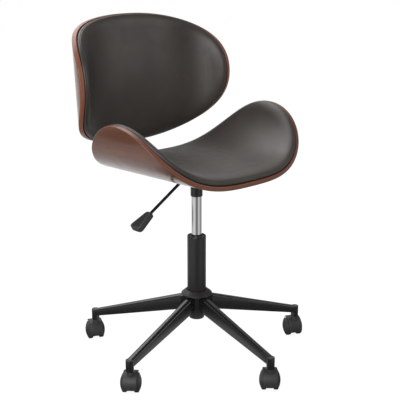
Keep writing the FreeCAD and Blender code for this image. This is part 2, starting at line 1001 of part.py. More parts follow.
def hood_sector(radius, width, round_radius):
    # The part of a drum between the hood's two edges, with angles from the trailing side.
    spoke = FreeCAD.Rotation(across, hood_start_angle).multVec(Vector(0, 1, 0))
    half = width / 2
    bevel = round_radius * (1 - math.sqrt(0.5))

    def at(along, out):
        return axle_centre + across * along + spoke * out

    edges = [
        Part.makeLine(at(-half, 0), at(-half, radius - round_radius)),
        Part.Arc(
            at(-half, radius - round_radius),
            at(bevel - half, radius - bevel),
            at(round_radius - half, radius),
        ).toShape(),
        Part.makeLine(at(round_radius - half, radius), at(half - round_radius, radius)),
        Part.Arc(
            at(half - round_radius, radius),
            at(half - bevel, radius - bevel),
            at(half, radius - round_radius),
        ).toShape(),
        Part.makeLine(at(half, radius - round_radius), at(half, 0)),
        Part.makeLine(at(half, 0), at(-half, 0)),
    ]
    sweep = hood_end_angle - hood_start_angle
    return Part.Face(Part.Wire(edges)).revolve(axle_centre, across, sweep)


def make_hood():
    ring = hood_sector(hood_outer, hood_width, hood_round)
    ring = ring.cut(drum(hood_inner, 2 * hood_width))
    web = hood_sector(hood_inner + hood_wall / 2, web_thickness, seat_gap)
    hub = drum(web_hub_radius, web_thickness)
    boss = rod_between(
        Vector(0, 0, axle_height), Vector(0, 0, boss_top), boss_radius
    ).cut(drum(hood_inner, 2 * hood_width))
    hood = fuse_all([ring, web, hub, boss])
    axle_bore = drum(axle_radius, 2 * hood_width)
    stem_bore = rod_between(
        Vector(0, 0, stem_foot), Vector(0, 0, boss_top + overrun), stem_radius
    )
    return cut_all(hood, [axle_bore, stem_bore])


def make_stem():
    groove_top = stem_top - stem_groove_from_top
    groove_foot = groove_top - stem_groove_height
    groove = stem_radius - stem_groove_depth
    return turned([
        (0, stem_foot),
        (stem_radius, stem_foot),
        (stem_radius, groove_foot),
        (groove, groove_foot),
        (groove, groove_top),
        (stem_radius, groove_top),
        (stem_radius, stem_top - stem_nose),
        (stem_radius - stem_nose, stem_top),
        (0, stem_top),
    ])


def make_casters():
    pieces = {
        "caster_hood_%d": make_hood(),
        "caster_stem_%d": make_stem(),
        "caster_axle_%d": drum(axle_radius, axle_length),
        "wheel_%d_left": make_wheel(-1),
        "wheel_%d_right": make_wheel(1),
    }
    for number in range(leg_count):
        angle = math.radians(leg_angle(number))
        place = Vector(stem_circle * math.cos(angle), stem_circle * math.sin(angle), 0)
        frame = FreeCAD.Placement(place, FreeCAD.Rotation(up, caster_headings[number]))
        for name, shape in pieces.items():
            save(placed(shape, frame), name % (number + 1))


os.makedirs("parts", exist_ok=True)
make_base()
make_casters()
make_gas_lift()
make_cone()
make_housing()
make_plate()
make_button()
make_lever()
make_bracket()
make_seat()
make_back()
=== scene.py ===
import bmesh
import bpy
import json
import math
from mathutils import Matrix, Vector


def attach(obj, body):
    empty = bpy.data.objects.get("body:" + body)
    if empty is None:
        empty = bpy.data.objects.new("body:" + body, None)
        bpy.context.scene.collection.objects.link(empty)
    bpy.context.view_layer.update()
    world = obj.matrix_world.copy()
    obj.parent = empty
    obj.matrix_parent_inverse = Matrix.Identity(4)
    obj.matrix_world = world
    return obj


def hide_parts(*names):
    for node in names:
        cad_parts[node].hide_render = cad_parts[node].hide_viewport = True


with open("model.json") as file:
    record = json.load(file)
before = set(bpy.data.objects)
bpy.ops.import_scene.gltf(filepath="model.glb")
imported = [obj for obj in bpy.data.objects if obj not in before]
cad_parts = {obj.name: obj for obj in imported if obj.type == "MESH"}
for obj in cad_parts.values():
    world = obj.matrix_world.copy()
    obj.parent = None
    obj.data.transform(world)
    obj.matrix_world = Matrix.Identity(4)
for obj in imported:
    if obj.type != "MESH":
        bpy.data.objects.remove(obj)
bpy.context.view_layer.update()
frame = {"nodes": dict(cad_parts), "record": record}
cadNodes = frame["nodes"]
scene = bpy.context.scene
scene.view_settings.view_transform = "Standard"
mm = 0.001  # pieces are drawn in millimetres and shrunk to metres at the end
bodyOfNode = {}
for bodyName, members in frame["record"]["behaviour"]["bodies"].items():
    for member in members:
        bodyOfNode[member] = bodyName
slotOfNode = {part["node"]: part["material_slot"] for part in frame["record"]["subparts"]}
print("frame loaded:", len(cadNodes), "nodes")


# Camera, lamps, floor and world

cameraValues = {
    "place": (-1.5240, -1.6257, 1.0491),
    "tilt": 74.444,
    "heading": -43.38,
    "lens": 79.75,
    "sensor": 36.0,
}
lampValues = {
    "aim": (0, 0, 0.5),
    "leftWindow": {"place": (-2.3, -1.1, 1.6), "size": 1.8, "power": 53},
    "backWindow": {"place": (-0.15, 1.3, 2.75), "size": 2.6, "power": 58},
    "rightFill": {"place": (1.6, -2.2, 1.6), "size": 1.4, "power": 15},
}
studioValues = {
    "ambient": 0.55,
    "brightSky": (0.18, 0.83, 0.53),
    "skyEnds": (0.46, 0.90),
    "skyGlow": (0.18, 0.78),
    "floorSize": 30.0,
    "floorGlow": 0.93,
    "floorSeen": 0.12,
    "floorColour": 0.82,
    "towardsCamera": (-0.686, -0.728, 0),
    "alongPicture": (0.728, -0.686, 0),
    # Painted light and shade in the floor that metal mirrors: bright right under the chair, a
    # painted shadow near it, painted dark far off, and a painted dark spot.
    "mirroredUnder": 0.85,
    "paintedShadowNear": 0.10,
    "mirroredFar": 0.08,
    "underRadii": (0.16, 0.26),
    "paintedShadowRadii": (0.46, 0.58),
    "farEnds": (1.6, 2.1),
    "paintedDarkSpotPlace": (-0.86, 0.84, 0),
    "paintedDarkSpotRadii": (0.16, 0.34),
}
# Painted reflections: what bright metal sees of the floor round the chair, painted turn by turn:
# turn from the camera's side, brightness
paintedReflectionRound = (
    (0.00, 1.00), (0.10, 0.95), (0.16, 0.62), (0.25, 0.52), (0.33, 0.85),
    (0.41, 0.72), (0.455, 0.30), (0.50, 0.18), (0.55, 0.20), (0.60, 0.62),
    (0.67, 0.72), (0.72, 0.30), (0.78, 0.28), (0.86, 0.60),
)


def newObject(name, data):
    item = bpy.data.objects.new(name, data)
    scene.collection.objects.link(item)
    return item


def addNode(tree, kind, inputs=None, **settings):
    node = tree.nodes.new("ShaderNode" + kind)
    for name, value in settings.items():
        setattr(node, name, value)
    for key, value in (inputs or {}).items():
        if isinstance(value, bpy.types.NodeSocket):
            tree.links.new(value, node.inputs[key])
        else:
            node.inputs[key].default_value = value
    return node


def mathOf(tree, operation, *inputs):
    return addNode(tree, "Math", dict(enumerate(inputs)), operation=operation).outputs[0]


def vectorOf(tree, operation, *inputs):
    return addNode(tree, "VectorMath", dict(enumerate(inputs)), operation=operation).outputs


def rangeOf(tree, value, fromEnds, toEnds=(0, 1), kind="LINEAR"):
    # Carries a value from one pair of ends to another.
    ends = zip(("From Min", "From Max", "To Min", "To Max"), (*fromEnds, *toEnds))
    inputs = {"Value": value, **dict(ends)}
    return addNode(tree, "MapRange", inputs, interpolation_type=kind).outputs[0]


def noiseOf(tree, place, scale, detail=2.0):
    inputs = {"Vector": place, "Scale": scale, "Detail": detail}
    return addNode(tree, "TexNoise", inputs).outputs


def mixColour(tree, share, first, second):
    return addNode(tree, "Mix", {0: share, 6: first, 7: second}, data_type="RGBA").outputs[2]


def mixShader(tree, share, first, second):
    return addNode(tree, "MixShader", {0: share, 1: first, 2: second}).outputs[0]


def grey(level, warm=1.0):
    return (level * warm, level, level / warm, 1)


def placeCamera():
    lens = bpy.data.cameras.new("photoCamera")
    lens.lens = cameraValues["lens"]
    lens.sensor_width = cameraValues["sensor"]
    camera = newObject("photoCamera", lens)
    camera.location = cameraValues["place"]
    tilt = math.radians(cameraValues["tilt"])
    camera.rotation_euler = (tilt, 0, math.radians(cameraValues["heading"]))
    bpy.context.scene.camera = camera


def hangLamp(name):
    values = lampValues[name]
    light = bpy.data.lights.new(name, "AREA")
    light.energy = values["power"]
    light.size = values["size"]
    lamp = newObject(name, light)
    lamp.location = values["place"]
    aim = Vector(lampValues["aim"]) - lamp.location
    lamp.rotation_euler = aim.to_track_quat("-Z", "Y").to_euler()


def backgroundRay(tree):
    # One for the rays that see the backdrop: the camera's, and those by way of metal.
    ray = addNode(tree, "LightPath").outputs
    mirrored = mathOf(tree, "MAXIMUM", ray["Is Glossy Ray"], ray["Is Transmission Ray"])
    return ray["Is Camera Ray"], mirrored


def paintWorld():
    # Mirrored rays see a sky that is brighter behind the chair than before it.
    values = studioValues
    world = bpy.data.worlds.new("studio")
    scene.world = world
    world.use_nodes = True
    tree = world.node_tree
    tree.nodes.clear()
    seen, mirrored = backgroundRay(tree)
    way = addNode(tree, "TexCoord").outputs["Generated"]
    behind = vectorOf(tree, "DOT_PRODUCT", way, values["brightSky"])["Value"]
    sky = rangeOf(tree, behind, values["skyEnds"], values["skyGlow"], "SMOOTHSTEP")
    ambient, glossy, white = [
        addNode(tree, "Background", {"Color": grey(1), "Strength": strength}).outputs[0]
        for strength in (values["ambient"], sky, 1)
    ]
    unseen = mixShader(tree, mirrored, ambient, glossy)
    addNode(tree, "OutputWorld", {"Surface": mixShader(tree, seen, unseen, white)})


def paintedFloorReflection(tree):
    # Painted reflections: how bright the floor glows to mirrored rays, painted by the turn about
    # the chair, with a level of its own under the chair, a painted shadow near it, a painted dark
    # spot at one place, and painted dark far off before the chair.
    values = studioValues
    spot = addNode(tree, "TexCoord").outputs["Object"]
    along = vectorOf(tree, "DOT_PRODUCT", spot, values["towardsCamera"])["Value"]
    side = vectorOf(tree, "DOT_PRODUCT", spot, values["alongPicture"])["Value"]
    turn = rangeOf(tree, mathOf(tree, "ARCTAN2", side, along), (-math.pi, math.pi))
    ramp = addNode(tree, "ValToRGB", {0: turn})
    stops = ramp.color_ramp.elements
    stops[1].position = 1.0
    for stop in stops[:2]:
        stop.color = grey(paintedReflectionRound[0][1])
    for place, level in paintedReflectionRound[1:]:
        stops.new(place).color = grey(level)
    brightness = ramp.outputs[0]
    for middle, radii, level in (
        ((0, 0, 0), values["paintedShadowRadii"], values["paintedShadowNear"]),
        ((0, 0, 0), values["underRadii"], values["mirroredUnder"]),
        (values["paintedDarkSpotPlace"], values["paintedDarkSpotRadii"], values["mirroredFar"]),
    ):
        away = vectorOf(tree, "DISTANCE", spot, middle)["Value"]
        share = rangeOf(tree, away, radii, kind="SMOOTHSTEP")
        brightness = mixColour(tree, share, grey(level), brightness)
    farShare = rangeOf(tree, along, values["farEnds"], kind="SMOOTHSTEP")
    return mixColour(tree, farShare, brightness, grey(values["mirroredFar"]))


def layFloor():
    values = studioValues
    material = bpy.data.materials.new("whiteFloor")
    material.use_nodes = True
    material.cycles.emission_sampling = "NONE"
    tree = material.node_tree
    tree.nodes.clear()
    seen, mirrored = backgroundRay(tree)
    plain = addNode(tree, "BsdfDiffuse", {"Color": grey(values["floorColour"])}).outputs[0]
    shaded = addNode(tree, "BsdfDiffuse", {"Color": grey(values["floorSeen"])}).outputs[0]
    glow = addNode(tree, "Emission", {"Strength": values["floorGlow"]}).outputs[0]
    shown = addNode(tree, "AddShader", {0: shaded, 1: glow}).outputs[0]
    # For mirrored rays the floor glows with the painted reflections, so metal shows them.
    inMetal = addNode(tree, "Emission", {"Color": paintedFloorReflection(tree), "Strength": 1}).outputs[0]
    unseen = mixShader(tree, mirrored, plain, inMetal)
    addNode(tree, "OutputMaterial", {"Surface": mixShader(tree, seen, unseen, shown)})
    bm = bmesh.new()
    bmesh.ops.create_grid(bm, x_segments=1, y_segments=1, size=values["floorSize"])
    mesh = bpy.data.meshes.new("studioFloor")
    bm.to_mesh(mesh)
    bm.free()
    mesh.materials.append(material)
    floor = newObject("studioFloor", mesh)


placeCamera()
for lampName in ("leftWindow", "backWindow", "rightFill"):
    hangLamp(lampName)
paintWorld()
layFloor()
print("studio ready")


# Node groups that several finishes share

unevenValues = {"noiseEnds": (0.3, 0.7), "detail": 4.0}
pebbleValues = {
    "warpScale": 260.0,
    "warp": 0.0012,
    "creaseWidth": 0.22,
    "fineScale": 2600.0,
    "fineShare": 0.25,
}
figureValues = {
    # streaks: their stretch along the three axes, detail and roughness
    "broad": ((34.0, 2.2, 1.0), 3.0, 0.5),
    "narrow": ((210.0, 7.0, 1.0), 4.0, 0.6),
    "pores": ((1500.0, 34.0, 1.0), 1.0, 0.5),
    "distortion": 0.6,
    "narrowShare": 0.55,
    "toneEnds": (0.55, 1.0),
    "poreEnds": (0.3, 0.42),
    "poreTone": 0.72,
}
layerValues = {"wanderScale": 60.0, "wander": 0.35, "glueEnds": (0.4, 0.5)}
wearValues = {"rubbedEnds": (0.52, 0.6), "spotScale": 90.0, "spotDetail": 3.0}


def newGroup(name, inputs, outputs):
    # Each group reads a place, and an input that starts as four numbers is a colour.
    group = bpy.data.node_groups.new(name, "ShaderNodeTree")
    newSocket = group.interface.new_socket
    newSocket("Vector", in_out="INPUT", socket_type="NodeSocketVector")
    for label, value in inputs.items():
        kind = "NodeSocketColor" if isinstance(value, tuple) else "NodeSocketFloat"
        newSocket(label, in_out="INPUT", socket_type=kind).default_value = value
    for label, kind in outputs.items():
        newSocket(label, in_out="OUTPUT", socket_type="NodeSocket" + kind)
    return group, group.nodes.new("NodeGroupInput").outputs


def closeGroup(group, results):
    end = group.nodes.new("NodeGroupOutput").inputs
    for label, result in results.items():
        group.links.new(result, end[label])
    return group


def unevenGroup():
    # A value that wanders between two others over the surface.
    group, given = newGroup(
        "unevenFinish", {"Scale": 30.0, "Low": 0.3, "High": 0.4}, {"Value": "Float"}
    )
    noise = noiseOf(group, given["Vector"], given["Scale"], unevenValues["detail"])["Fac"]
    ends = (given["Low"], given["High"])
    return closeGroup(group, {"Value": rangeOf(group, noise, unevenValues["noiseEnds"], ends)})


def pebbleGroup():
    # Leather's small cells, with finer creases on them.
    values = pebbleValues
    group, given = newGroup("leatherPebble", {"Scale": 700.0}, {"Height": "Float"})
    place = given["Vector"]
    warp = noiseOf(group, place, values["warpScale"])["Color"]
    nudged = vectorOf(group, "MULTIPLY_ADD", warp, (values["warp"],) * 3, place)[0]
    cells = addNode(
        group, "TexVoronoi", {"Vector": nudged, "Scale": given["Scale"]}, feature="DISTANCE_TO_EDGE"
    ).outputs["Distance"]
    crease = rangeOf(group, cells, (0, values["creaseWidth"]), kind="SMOOTHSTEP")
    fine = noiseOf(group, place, values["fineScale"])["Fac"]
    height = mathOf(group, "MULTIPLY_ADD", fine, values["fineShare"], crease)
    return closeGroup(group, {"Height": height})


def figureGroup():
    # Walnut veneer whose grain runs along the flat sheet's second axis, as the bend lines do.
    values = figureValues
    group, given = newGroup(
        "walnutFigure",
        {"Dark": (0.05, 0.02, 0.012, 1), "Light": (0.16, 0.07, 0.045, 1)},
        {"Colour": "Color", "Height": "Float"},
    )

    def streaks(kind):
        stretch, detail, roughness = values[kind]
        inputs = {
            "Vector": vectorOf(group, "MULTIPLY", given["Vector"], stretch)[0],
            "Scale": 1.0,
            "Detail": detail,
            "Roughness": roughness,
            "Distortion": values["distortion"],
        }
        return addNode(group, "TexNoise", inputs).outputs["Fac"]

    broad, narrow, pores = streaks("broad"), streaks("narrow"), streaks("pores")
    both = mathOf(group, "MULTIPLY_ADD", narrow, values["narrowShare"], broad)
    share = rangeOf(group, both, values["toneEnds"])
    poreShade = rangeOf(group, pores, values["poreEnds"], (values["poreTone"], 1))
    tone = mixColour(group, share, given["Dark"], given["Light"])
    pored = addNode(group, "VectorMath", {0: tone, 3: poreShade}, operation="SCALE").outputs[0]
    return closeGroup(group, {"Colour": pored, "Height": poreShade})


def layerGroup():
    # The layers that show on a plywood edge, from the height across it in millimetres.
    values = layerValues
    group, given = newGroup(
        "plyLayers", {"Height": 0.0, "Thickness": 1.35}, {"Layer": "Float", "Glue": "Float"}
    )
    wander = noiseOf(group, given["Vector"], values["wanderScale"])["Fac"]
    shifted = mathOf(group, "MULTIPLY_ADD", wander, values["wander"], given["Height"])
    count = mathOf(group, "DIVIDE", shifted, given["Thickness"])
    layer = mathOf(group, "MODULO", mathOf(group, "FLOOR", count), 2.0)
    fromMiddle = mathOf(group, "SUBTRACT", mathOf(group, "FRACT", count), 0.5)
    glue = rangeOf(group, mathOf(group, "ABSOLUTE", fromMiddle), values["glueEnds"])
    return closeGroup(group, {"Layer": layer, "Glue": glue})


def edgeWearGroup():
    # Lighter where an edge is rubbed.
    values = wearValues
    group, given = newGroup(
        "edgeWear",
        {"Colour": (0.02, 0.02, 0.02, 1), "Worn": (0.05, 0.05, 0.05, 1)},
        {"Colour": "Color"},
    )
    form = addNode(group, "NewGeometry").outputs["Pointiness"]
    rubbed = rangeOf(group, form, values["rubbedEnds"])
    spots = noiseOf(group, given["Vector"], values["spotScale"], values["spotDetail"])["Fac"]
    mask = mathOf(group, "MULTIPLY", rubbed, spots)
    return closeGroup(group, {"Colour": mixColour(group, mask, given["Colour"], given["Worn"])})


groups = {
    "uneven": unevenGroup(),
    "pebble": pebbleGroup(),
    "figure": figureGroup(),
    "layers": layerGroup(),
    "wear": edgeWearGroup(),
}


def useGroup(tree, name, inputs):
    return addNode(tree, "Group", inputs, node_tree=groups[name]).outputs


def unevenOf(tree, place, scale, ends):
    inputs = {"Vector": place, "Scale": scale, "Low": ends[0], "High": ends[1]}
    return useGroup(tree, "uneven", inputs)["Value"]


# Finishes

bumpDepth = 0.0002  # metres


def startFinish(name, constants):
    material = bpy.data.materials.new(name)
    material.use_nodes = True
    tree = material.node_tree
    shader = tree.nodes["Principled BSDF"]
    for key, value in constants.items():
        shader.inputs[key].default_value = value
    return material, tree, addNode(tree, "TexCoord").outputs["Object"]


def endFinish(material, place, values, colour, height=None):
    # The colour, an uneven gloss and, where a height is given, a little bump.
    tree = material.node_tree
    shader = tree.nodes["Principled BSDF"].inputs
    tree.links.new(colour, shader["Base Color"])
    gloss = unevenOf(tree, place, values["glossScale"], values["gloss"])
    tree.links.new(gloss, shader["Roughness"])
    if height is not None:
        inputs = {"Height": height, "Strength": values["bump"], "Distance": bumpDepth}
        tree.links.new(addNode(tree, "Bump", inputs).outputs[0], shader["Normal"])
    return material


leatherValues = {
    "dark": (0.0220, 0.0170, 0.0137, 1),
    "light": (0.0350, 0.0272, 0.0222, 1),
    "patchScale": 9.0,
    "grainScale": 650.0,
    "glossScale": 45.0,
    "gloss": (0.40, 0.48),
    "bump": 0.10,
    "shader": {"Specular IOR Level": 0.55, "Sheen Weight": 0.07, "Sheen Roughness": 0.4},
}


def leatherFinish():
    values = leatherValues
    material, tree, place = startFinish("darkLeather", values["shader"])
    patch = unevenOf(tree, place, values["patchScale"], (0, 1))
    pebble = useGroup(tree, "pebble", {"Vector": place, "Scale": values["grainScale"]})
    tone = mixColour(tree, patch, values["dark"], values["light"])
    return endFinish(material, place, values, tone, pebble["Height"])


walnutValues = {
    "dark": (0.068, 0.0185, 0.0070, 1),
    "light": (0.110, 0.0360, 0.0165, 1),
    "glossScale": 20.0,
    "gloss": (0.34, 0.46),
    "bump": 0.08,
    "shader": {
        "Coat Weight": 0.72,
        "Coat Roughness": 0.12,
        "Coat IOR": 1.5,
        "Specular IOR Level": 0.12,
    },
}


def walnutFinish():
    values = walnutValues
    material, tree, place = startFinish("walnutVeneer", values["shader"])
    flat = addNode(tree, "UVMap", uv_map="flat").outputs[0]
    tones = {"Dark": values["dark"], "Light": values["light"]}
    figure = useGroup(tree, "figure", {"Vector": flat, **tones})
    return endFinish(material, place, values, figure["Colour"], figure["Height"])


edgeValues = {
    "dark": (0.078, 0.0215, 0.0090),
    "light": (0.150, 0.0490, 0.0240),
    "glue": (0.042, 0.0120, 0.0065),
    "paintedLightGain": 1.65,  # painted highlight: the back board's edge is drawn paler, as if lit more from the left
    "layer": 1.35,
    "layerShare": 0.65,
    "grainScale": 420.0,
    "grain": (0.0, 0.35),
    "glossScale": 80.0,
    "gloss": (0.38, 0.5),
    "bump": 0.15,
    "shader": {"Coat Weight": 0.25, "Coat Roughness": 0.25, "Coat IOR": 1.5},
}


def plyEdgeFinish(name, paintedLightGain=1.0):
    values = edgeValues
    dark, light, glue = [
        (*(part * paintedLightGain for part in values[layer]), 1) for layer in ("dark", "light", "glue")
    ]
    material, tree, place = startFinish(name, values["shader"])
    height = addNode(tree, "Attribute", attribute_name="plyHeight", attribute_type="GEOMETRY")
    layers = useGroup(
        tree,
        "layers",
        {"Vector": place, "Height": height.outputs["Fac"], "Thickness": values["layer"]},
    )
    grain = unevenOf(tree, place, values["grainScale"], values["grain"])
    share = mathOf(tree, "MULTIPLY_ADD", layers["Layer"], values["layerShare"], grain)
    lined = mixColour(tree, layers["Glue"], mixColour(tree, share, dark, light), glue)
    return endFinish(material, place, values, lined, share)


innerPlyValues = {
    "stretch": (9.0, 260.0, 60.0),
    "dark": (0.10, 0.055, 0.032, 1),
    "light": (0.17, 0.10, 0.06, 1),
    "glossScale": 50.0,
    "gloss": (0.6, 0.75),
}


def innerPlyFinish():
    values = innerPlyValues
    material, tree, place = startFinish("rawPly", {})
    stretched = vectorOf(tree, "MULTIPLY", place, values["stretch"])[0]
    grain = unevenOf(tree, stretched, 1.0, (0, 1))
    tone = mixColour(tree, grain, values["dark"], values["light"])
    return endFinish(material, place, values, tone)


metal = {"Metallic": 1.0}
hardGlossScale = 55.0
hardValues = {
    "black_steel": {
        "name": "blackPaint",
        "colour": grey(0.0085, 1.04),
        "worn": grey(0.0135, 1.04),
        "gloss": (0.23, 0.26),
        "textureScale": 900.0,
        "bump": 0.004,
        "shader": {"Coat Weight": 0.06, "Coat Roughness": 0.12},
    },
    "tubePaint": {
        "name": "satinTubePaint",
        "colour": grey(0.0105, 1.06),
        "worn": grey(0.0165, 1.06),
        "gloss": (0.34, 0.36),
        "textureScale": 1200.0,
        "bump": 0.004,
    },
    "black_plastic": {
        "name": "blackPlastic",
        "colour": grey(0.023, 1.03),
        "worn": grey(0.032, 1.03),
        "gloss": (0.50, 0.55),
        "textureScale": 1800.0,
        "bump": 0.02,
    },
    "collarPlastic": {
        "name": "collarPlastic",
        "colour": grey(0.0115, 1.03),
        "worn": grey(0.0175, 1.03),
        "gloss": (0.46, 0.50),
        "textureScale": 1800.0,
        "bump": 0.02,
    },
    "wheel_nylon": {
        "name": "wheelNylon",
        "colour": grey(0.022, 1.03),
        "worn": grey(0.030, 1.03),
        "gloss": (0.46, 0.50),
        "textureScale": 1400.0,
        "bump": 0.015,
    },
    "bush_plastic": {
        "name": "bushPlastic",
        "colour": grey(0.02),
        "worn": grey(0.03),
        "gloss": (0.5, 0.6),
        "textureScale": 1500.0,
        "bump": 0.08,
    },
    "chrome": {
        "name": "chromeRod",
        "colour": (0.74, 0.74, 0.73, 1),
        "worn": (0.77, 0.77, 0.76, 1),
        "gloss": (0.05, 0.07),
        "textureScale": 500.0,
        "bump": 0.004,
        "shader": metal,
    },
    "zinc_steel": {
        "name": "zincSteel",
        "colour": (0.42, 0.43, 0.45, 1),
        "worn": (0.55, 0.56, 0.58, 1),
        "gloss": (0.28, 0.4),
        "textureScale": 700.0,
        "bump": 0.05,
        "shader": metal,
    },
}


def hardFinish(values):
    # Paint, plastic and metal: a little wear on the edges and a fine texture.
    material, tree, place = startFinish(values["name"], values.get("shader", {}))
    tones = {"Colour": values["colour"], "Worn": values["worn"]}
    wear = useGroup(tree, "wear", {"Vector": place, **tones})
    skin = noiseOf(tree, place, values["textureScale"])["Fac"]
    values = {"glossScale": hardGlossScale, **values}
    return endFinish(material, place, values, wear["Colour"], skin)


finishes = {
    "leather": leatherFinish(),
    "walnut_ply": walnutFinish(),
    "plyEdge": plyEdgeFinish("stainedPlyEdge"),
    # A paler copy of the edge finish: a painted highlight for the back board's edge.
    "paintedLitPlyEdge": plyEdgeFinish("paintedLitPlyEdge", edgeValues["paintedLightGain"]),
    "inner_ply": innerPlyFinish(),
}
for finishName, finishValues in hardValues.items():
    finishes[finishName] = hardFinish(finishValues)
print("finishes ready:", len(finishes))


# Shared modelling steps

def softCorners(corners, steps, closed=False):
    # Each corner is (first, second, rounding); a rounding becomes the points of an arc.
    points = []
    for count, (first, second, rounding) in enumerate(corners):
        here = Vector((first, second))
        atEnd = not closed and count in (0, len(corners) - 1)
        if rounding == 0 or atEnd:
            points.append(here)
            continue
        following = corners[(count + 1) % len(corners)]
        before = (Vector(corners[count - 1][:2]) - here).normalized()
        after = (Vector(following[:2]) - here).normalized()
        half = before.angle(after) / 2
        centre = here + (before + after).normalized() * (rounding / math.sin(half))
        start = here + before * (rounding / math.tan(half)) - centre
        end = here + after * (rounding / math.tan(half)) - centre
        for step in range(steps + 1):
            points.append(centre + start.lerp(end, step / steps).normalized() * rounding)
    return points


def lathe(corners, turns=64, arcSteps=4, closed=False, sweep=360.0):
    # Turns a profile of (radius, height, rounding) corners about the Z axis.
    bm = bmesh.new()
    points = softCorners(corners, arcSteps, closed)
    verts = [bm.verts.new((point.x, 0, point.y)) for point in points]
    edges = [bm.edges.new(pair) for pair in zip(verts, verts[1:])]
    if closed:
        edges.append(bm.edges.new((verts[-1], verts[0])))
    bmesh.ops.spin(
        bm,
        geom=verts + edges,
        cent=(0, 0, 0),
        axis=(0, 0, 1),
        angle=math.radians(sweep),
        steps=turns,
        use_merge=sweep == 360.0,
        use_duplicate=False,
    )
    bmesh.ops.remove_doubles(bm, verts=bm.verts, dist=0.001)
    if sweep != 360.0:
        ends = [edge for edge in bm.edges if edge.is_boundary]
        bmesh.ops.holes_fill(bm, edges=ends, sides=0)
    bmesh.ops.recalc_face_normals(bm, faces=bm.faces)
    return bm


def joined(parts):
    # Several closed shapes in one mesh.
    whole = bmesh.new()
    for part in parts:
        mesh = bpy.data.meshes.new("part")
        part.to_mesh(mesh)
        part.free()
        whole.from_mesh(mesh)
        bpy.data.meshes.remove(mesh)
    return whole


def moveShape(bm, matrix):
    bmesh.ops.transform(bm, matrix=matrix, verts=bm.verts)
    return bm


def softenEdges(bm, width, segments, least=40.0):
    sharp = [
        edge
        for edge in bm.edges
        if len(edge.link_faces) == 2 and edge.calc_face_angle() > math.radians(least)
    ]
    bmesh.ops.bevel(
        bm,
        geom=sharp,
        offset=width,
        offset_type="OFFSET",
        segments=segments,
        profile=0.5,
        affect="EDGES",
        clamp_overlap=True,
        material=-1,
    )


def roundVerts(bm, verts, size, steps):
    bmesh.ops.bevel(
        bm,
        geom=verts,
        offset=size,
        offset_type="OFFSET",
        segments=steps,
        profile=0.5,
        affect="VERTICES",
        material=-1,
    )


def ofKind(geometry, kind):
    return [item for item in geometry if isinstance(item, kind)]


def finishPiece(name, bm, nodeNames, materials, sharp=38.0):
    # The first node that the piece stands for gives its body.
    bmesh.ops.scale(bm, vec=(mm, mm, mm), verts=bm.verts)
    mesh = bpy.data.meshes.new(name)
    bm.to_mesh(mesh)
    bm.free()
    for material in materials:
        mesh.materials.append(finishes[material])
    mesh.shade_smooth()
    mesh.set_sharp_from_angle(angle=math.radians(sharp))
    piece = newObject(name, mesh)
    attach(piece, bodyOfNode[nodeNames[0]])
    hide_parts(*nodeNames)
    return piece


# Local X, Y, Z become Y, Z, X: for what is drawn upright and then laid along X
layOnSide = Matrix(((0, 0, 1, 0), (1, 0, 0, 0), (0, 1, 0, 0), (0, 0, 0, 1)))


# Bent boards, in millimetres: u runs along the bend, v across it, and height off its outer face

seatForm = {
    "halfLength": 348.8,
    "near": 200.0,
    "far": 216.2,
    "nearPower": 2.17,
    "farPower": 1.79,
    "shift": -1.6,
    "wingSlope": 77.35,
    "bendPower": 2.70,
    "kneeShare": 0.81,
    "place": (0, 0, 500.8),
    "turn": -0.98,
}
backForm = {
    "halfLength": 319.2,
    "near": 176.5,
    "far": 167.6,
    "nearPower": 2.11,
    "farPower": 2.16,
    "shift": 0.0,
    "wingSlope": 75.9,
    "bendPower": 2.56,
    "kneeShare": 1.02,
    "place": (0, 270.4, 726.9),
    "turn": 85.91,
}
walkStep = 2.0


def slopeAt(form, u):
    grown = (abs(u) / form["halfLength"]) ** form["bendPower"]
    knee = form["kneeShare"] ** form["bendPower"]
    share = grown / (grown + knee) * (1 + knee)
    return math.copysign(math.radians(form["wingSlope"]) * share, u)


def walkBend(form):
    # How far across and how high the bend is after each step of its flat length.
    places = [Vector((0, 0))]
    for count in range(int(form["halfLength"] / walkStep) + 2):
        slope = slopeAt(form, walkStep * (count + 0.5))
        places.append(places[-1] + Vector((math.cos(slope), math.sin(slope))) * walkStep)
    return places


def bendBoard(bm, form):
    # Takes the flat shape (u, v, height) to its bent place on the chair.
    places = walkBend(form)
    turn = Matrix.Rotation(math.radians(form["turn"]), 4, "X")
    onChair = Matrix.Translation(form["place"]) @ turn
    for vert in bm.verts:
        u, v, height = vert.co
        count = int(abs(u) / walkStep)
        part = abs(u) / walkStep - count
        spot = places[count].lerp(places[count + 1], part)
        slope = slopeAt(form, u)
        x = math.copysign(spot.x, u) - height * math.sin(slope)
        vert.co = onChair @ Vector((x, v, spot.y + height * math.cos(slope)))
    bmesh.ops.recalc_face_normals(bm, faces=bm.faces)


def rimPoint(form, angle):
    # The outline's point in a direction from the board's middle.
    cosine, sine = math.cos(angle), math.sin(angle)
    side = "near" if sine < 0 else "far"
    power = form[side + "Power"]
    size = (abs(cosine) ** power + abs(sine) ** power) ** (-1 / power)
    return Vector((form["halfLength"] * size * cosine, form[side] * size * sine))


def discLayout(cuts, rings):
    # A grid pressed into a disc and given a side, which is cut into rings.
    bm = bmesh.new()
    bmesh.ops.create_grid(bm, x_segments=cuts, y_segments=cuts, size=1)
    for vert in bm.verts:
        x, y = vert.co.x, vert.co.y
        vert.co.x = x * math.sqrt(1 - y * y / 2)
        vert.co.y = y * math.sqrt(1 - x * x / 2)
    lid = bmesh.ops.extrude_face_region(bm, geom=bm.faces[:])
    raised = ofKind(lid["geom"], bmesh.types.BMVert)
    bmesh.ops.translate(bm, vec=(0, 0, 1), verts=raised)
    upright = [edge for edge in bm.edges if edge.verts[0].co.z != edge.verts[1].co.z]
    bmesh.ops.subdivide_edges(bm, edges=upright, cuts=rings, use_grid_fill=True)
    return bm


